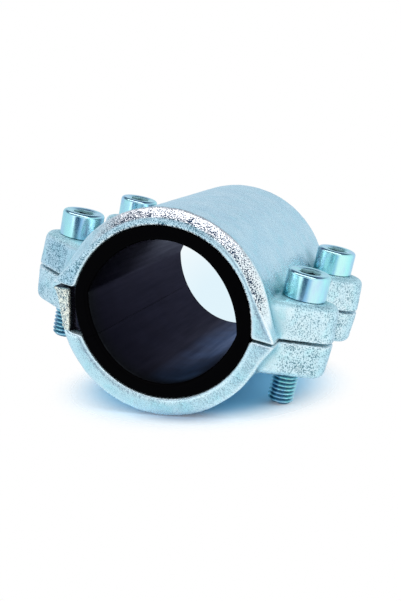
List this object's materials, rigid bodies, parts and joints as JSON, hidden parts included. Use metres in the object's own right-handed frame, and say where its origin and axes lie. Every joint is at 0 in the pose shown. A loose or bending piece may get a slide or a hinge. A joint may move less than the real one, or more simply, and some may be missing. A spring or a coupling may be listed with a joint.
{
  "type": "pipe repair clamp",
  "caption": "Split cast pipe repair clamp with a slit rubber sleeve, drawn together round a leaking pipe by socket head cap screws through its ears.",
  "frame": {"origin": "middle of the pipe bore, at mid length, in the parting plane of the two half shells", "axes": "+Y along the bore from the bevelled collar of the upper shell to its plain end, +Z along the screws towards their heads, X across the ears"},
  "size_m": [0.097, 0.084, 0.0617],
  "materials": {
    "galvanised_iron": "hot-dip galvanised casting, pale blue-grey, finely mottled and pitted",
    "black_rubber": "matt black with a faint sheen in the bore",
    "zinc_plated_steel": "bright zinc plate"
  },
  "bodies": {
    "lower_shell": {"lower_half_shell": "galvanised_iron", "rubber_sleeve": "black_rubber"},
    "upper_shell": {"upper_half_shell": "galvanised_iron"},
    "screw_front_left": {"cap_screw_front_left": "zinc_plated_steel"},
    "screw_front_right": {"cap_screw_front_right": "zinc_plated_steel"},
    "screw_rear_left": {"cap_screw_rear_left": "zinc_plated_steel"},
    "screw_rear_right": {"cap_screw_rear_right": "zinc_plated_steel"}
  },
  "joints": [
    {"name": "upper_lift", "type": "slide", "parent": "lower_shell", "child": "upper_shell", "axis": [0, 0, 1], "range_m": [0, 0.02]},
    {"name": "screw_front_left_turn", "type": "hinge", "parent": "upper_shell", "child": "screw_front_left", "pos_m": [-0.0368, -0.02285, 0.0114], "axis": [0, 0, 1], "range_deg": [0, 5760]},
    {"name": "screw_front_right_turn", "type": "hinge", "parent": "upper_shell", "child": "screw_front_right", "pos_m": [0.0368, -0.02285, 0.0114], "axis": [0, 0, 1], "range_deg": [0, 5760]},
    {"name": "screw_rear_left_turn", "type": "hinge", "parent": "upper_shell", "child": "screw_rear_left", "pos_m": [-0.0368, 0.02285, 0.0114], "axis": [0, 0, 1], "range_deg": [0, 5760]},
    {"name": "screw_rear_right_turn", "type": "hinge", "parent": "upper_shell", "child": "screw_rear_right", "pos_m": [0.0368, 0.02285, 0.0114], "axis": [0, 0, 1], "range_deg": [0, 5760]}
  ],
  "couplings": [
    {"joint": "screw_front_left_turn", "follows": "upper_lift", "rad_per_m": 5026.5},
    {"joint": "screw_front_right_turn", "follows": "upper_lift", "rad_per_m": 5026.5},
    {"joint": "screw_rear_left_turn", "follows": "upper_lift", "rad_per_m": 5026.5},
    {"joint": "screw_rear_right_turn", "follows": "upper_lift", "rad_per_m": 5026.5}
  ]
}
